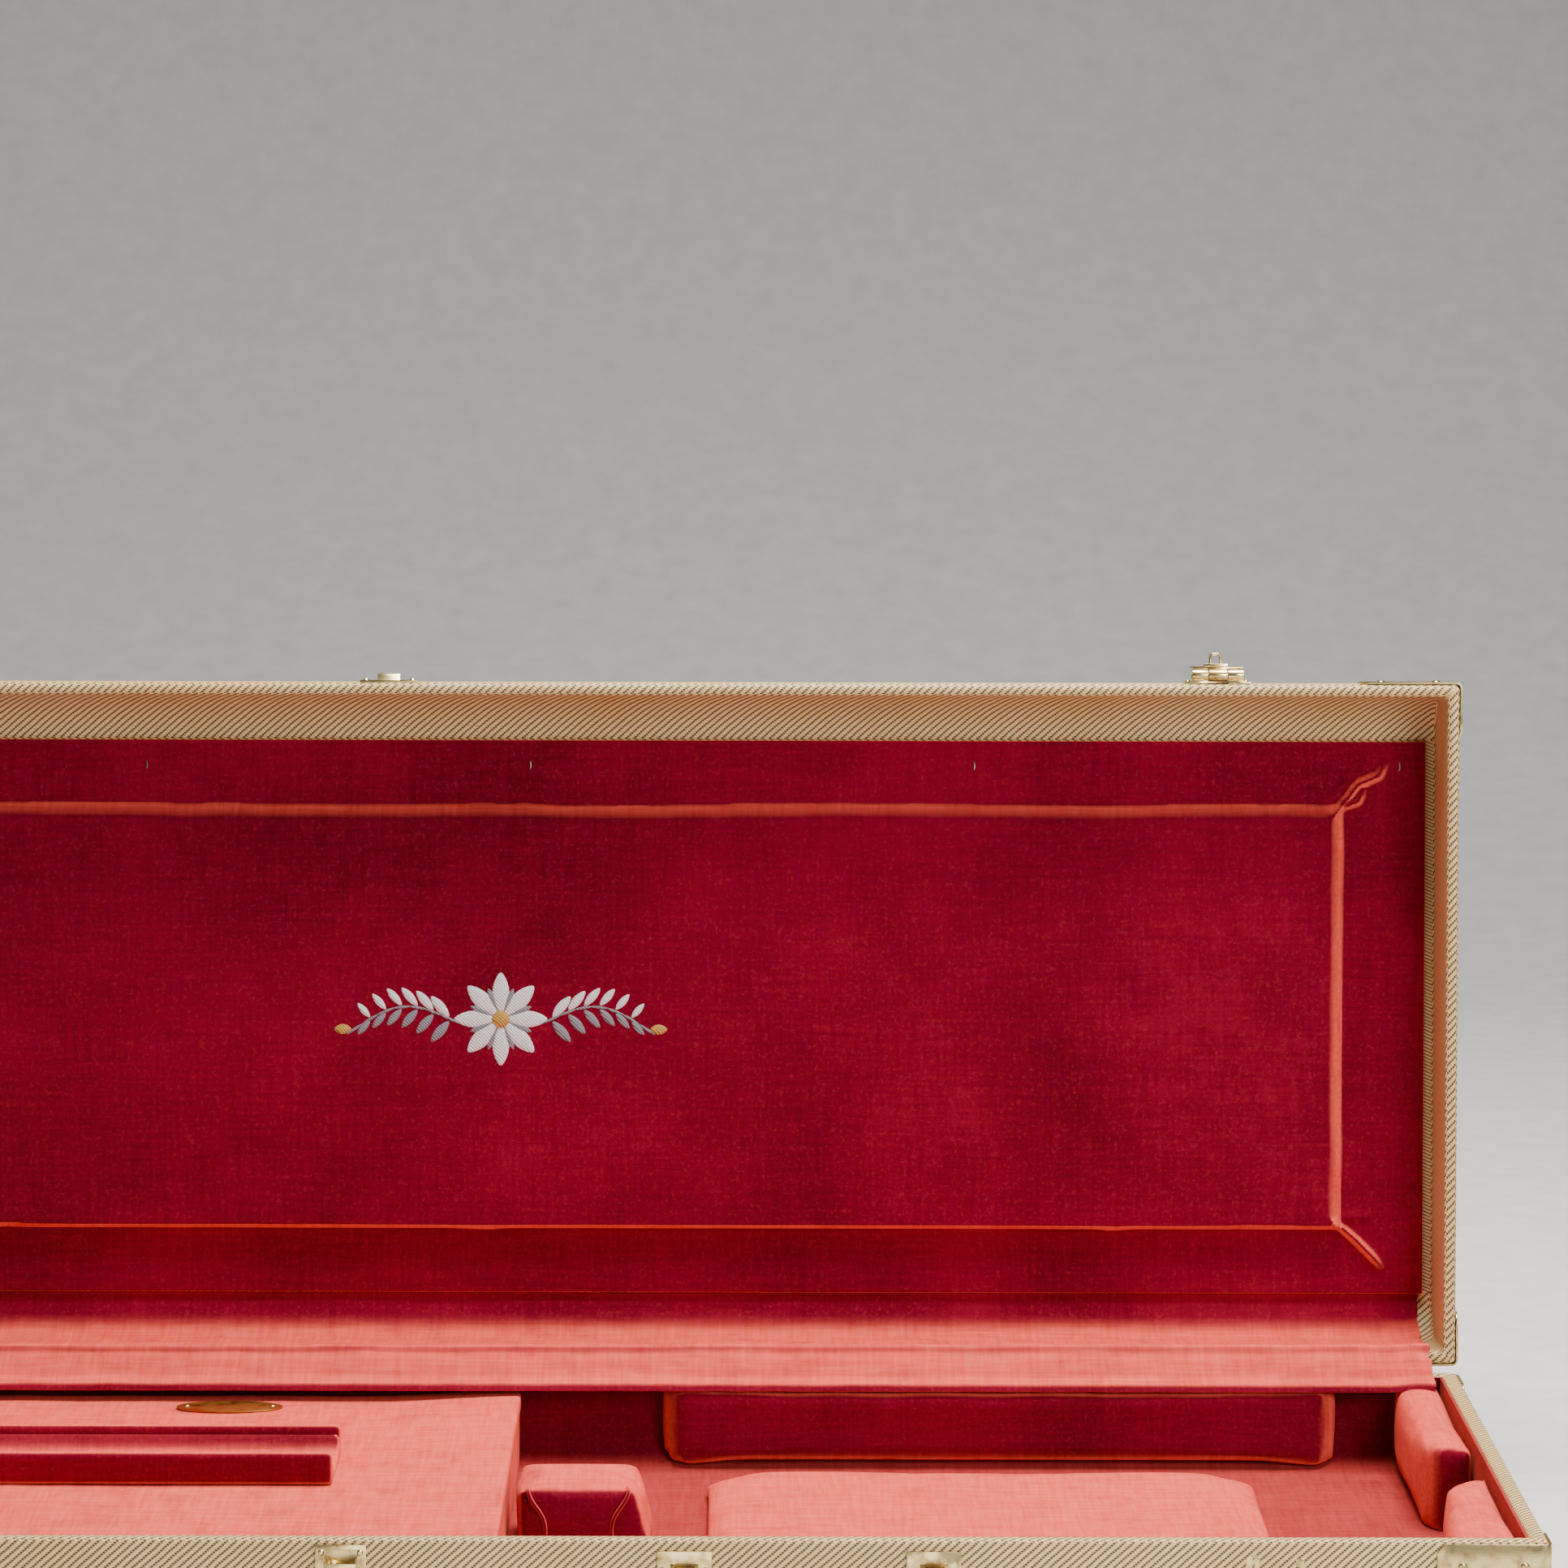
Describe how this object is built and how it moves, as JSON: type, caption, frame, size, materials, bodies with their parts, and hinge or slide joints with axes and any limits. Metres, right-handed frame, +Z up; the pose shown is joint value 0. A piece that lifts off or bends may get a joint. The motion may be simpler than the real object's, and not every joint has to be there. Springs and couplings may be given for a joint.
{
  "type": "guitar case",
  "caption": "Rectangular hard case for an electric guitar, tweed outside and plush inside, with hinged lid, draw latches, hasp lock, handle and accessory compartment.",
  "frame": {"origin": "centre of the base's flat bottom, where the case rests", "axes": "+X along the length towards the body end, +Y towards the hinges, +Z up"},
  "size_m": [1.068, 0.5154, 0.4796],
  "materials": {
    "tweed_cloth": "woven diagonal tweed over bent plywood, lacquered",
    "plush_velvet": "short crimson plush, soft sheen",
    "brass_hardware": "pale brass plate, lightly worn",
    "name_plate_brass": "aged brown brass, blank",
    "handle_leather": "stitched brown leather"
  },
  "bodies": {
    "base": {"base_wrap": "tweed_cloth", "base_end_left": "tweed_cloth", "base_end_right": "tweed_cloth", "base_lining": "plush_velvet", "back_side_pad": "plush_velvet", "front_side_pad": "plush_velvet", "end_pad_back": "plush_velvet", "end_pad_front": "plush_velvet", "head_pad_back": "plush_velvet", "head_pad_front": "plush_velvet", "floor_cushion": "plush_velvet", "neck_block": "plush_velvet", "compartment_wall_left": "plush_velvet", "compartment_wall_right": "plush_velvet", "base_bracket_front_left": "brass_hardware", "base_bracket_front_right": "brass_hardware", "base_bracket_back_left": "brass_hardware", "base_bracket_back_right": "brass_hardware", "hinge_base_leaf_1": "brass_hardware", "hinge_base_leaf_2": "brass_hardware", "hinge_base_leaf_3": "brass_hardware", "hinge_pin_1": "brass_hardware", "hinge_pin_2": "brass_hardware", "hinge_pin_3": "brass_hardware", "latch_plate_left": "brass_hardware", "latch_plate_middle": "brass_hardware", "lock_body": "brass_hardware", "handle_plate_left": "brass_hardware", "handle_plate_right": "brass_hardware"},
    "lid": {"lid_wrap": "tweed_cloth", "lid_end_left": "tweed_cloth", "lid_end_right": "tweed_cloth", "lid_panel": "plush_velvet", "lid_pad": "plush_velvet", "hinge_strip": "plush_velvet", "lid_bracket_front_left": "brass_hardware", "lid_bracket_front_right": "brass_hardware", "lid_bracket_back_left": "brass_hardware", "lid_bracket_back_right": "brass_hardware", "hinge_lid_leaf_1": "brass_hardware", "hinge_lid_leaf_2": "brass_hardware", "hinge_lid_leaf_3": "brass_hardware", "latch_keeper_left": "brass_hardware", "latch_keeper_middle": "brass_hardware", "hasp_plate": "brass_hardware", "hasp_pin": "brass_hardware"},
    "hasp": {"hasp_flap": "brass_hardware"},
    "compartment_door": {"compartment_lid": "plush_velvet", "neck_trough": "plush_velvet", "name_plate": "name_plate_brass"},
    "lever_left": {"latch_lever_left": "brass_hardware"},
    "loop_left": {"latch_loop_left": "brass_hardware"},
    "lever_middle": {"latch_lever_middle": "brass_hardware"},
    "loop_middle": {"latch_loop_middle": "brass_hardware"},
    "handle": {"handle_grip": "handle_leather", "handle_link_left": "brass_hardware", "handle_link_right": "brass_hardware"},
    "lock_button": {"lock_button": "brass_hardware"},
    "lock_cylinder": {"lock_cylinder": "brass_hardware"}
  },
  "joints": [
    {"name": "lid_hinge", "type": "hinge", "parent": "base", "child": "lid", "pos_m": [0, 0.201, 0.0663], "axis": [1, 0, 0], "range_deg": [0, 94.5]},
    {"name": "hasp_hinge", "type": "hinge", "parent": "lid", "child": "hasp", "pos_m": [0.3926, 0.23915, 0.46825], "axis": [1, 0, 0], "range_deg": [0, 180]},
    {"name": "compartment_hinge", "type": "hinge", "parent": "base", "child": "compartment_door", "pos_m": [0, 0.1842, 0.054], "axis": [1, 0, 0], "range_deg": [-72, 0]},
    {"name": "lever_hinge_left", "type": "hinge", "parent": "base", "child": "lever_left", "pos_m": [-0.3775, -0.2035, 0.052], "axis": [1, 0, 0], "range_deg": [-78, 0]},
    {"name": "loop_hinge_left", "type": "hinge", "parent": "lever_left", "child": "loop_left", "pos_m": [-0.3775, -0.2039, 0.0455], "axis": [-1, 0, 0], "range_deg": [0, 185.5]},
    {"name": "lever_hinge_middle", "type": "hinge", "parent": "base", "child": "lever_middle", "pos_m": [-0.088, -0.2035, 0.052], "axis": [1, 0, 0], "range_deg": [-78, 0]},
    {"name": "loop_hinge_middle", "type": "hinge", "parent": "lever_middle", "child": "loop_middle", "pos_m": [-0.088, -0.2039, 0.0455], "axis": [-1, 0, 0], "range_deg": [0, 185.5]},
    {"name": "handle_swing", "type": "hinge", "parent": "base", "child": "handle", "pos_m": [0.1525, -0.208, 0.05], "axis": [-1, 0, 0], "range_deg": [0, 150]},
    {"name": "lock_slide", "type": "slide", "parent": "base", "child": "lock_button", "axis": [0, 0, -1], "range_m": [0, 0.003], "stiffness_N_per_m": 120, "springref_m": -0.001},
    {"name": "key_turn", "type": "hinge", "parent": "base", "child": "lock_cylinder", "pos_m": [0.3806, -0.1975, 0.0543], "axis": [0, 1, 0], "range_deg": [0, 90]}
  ]
}
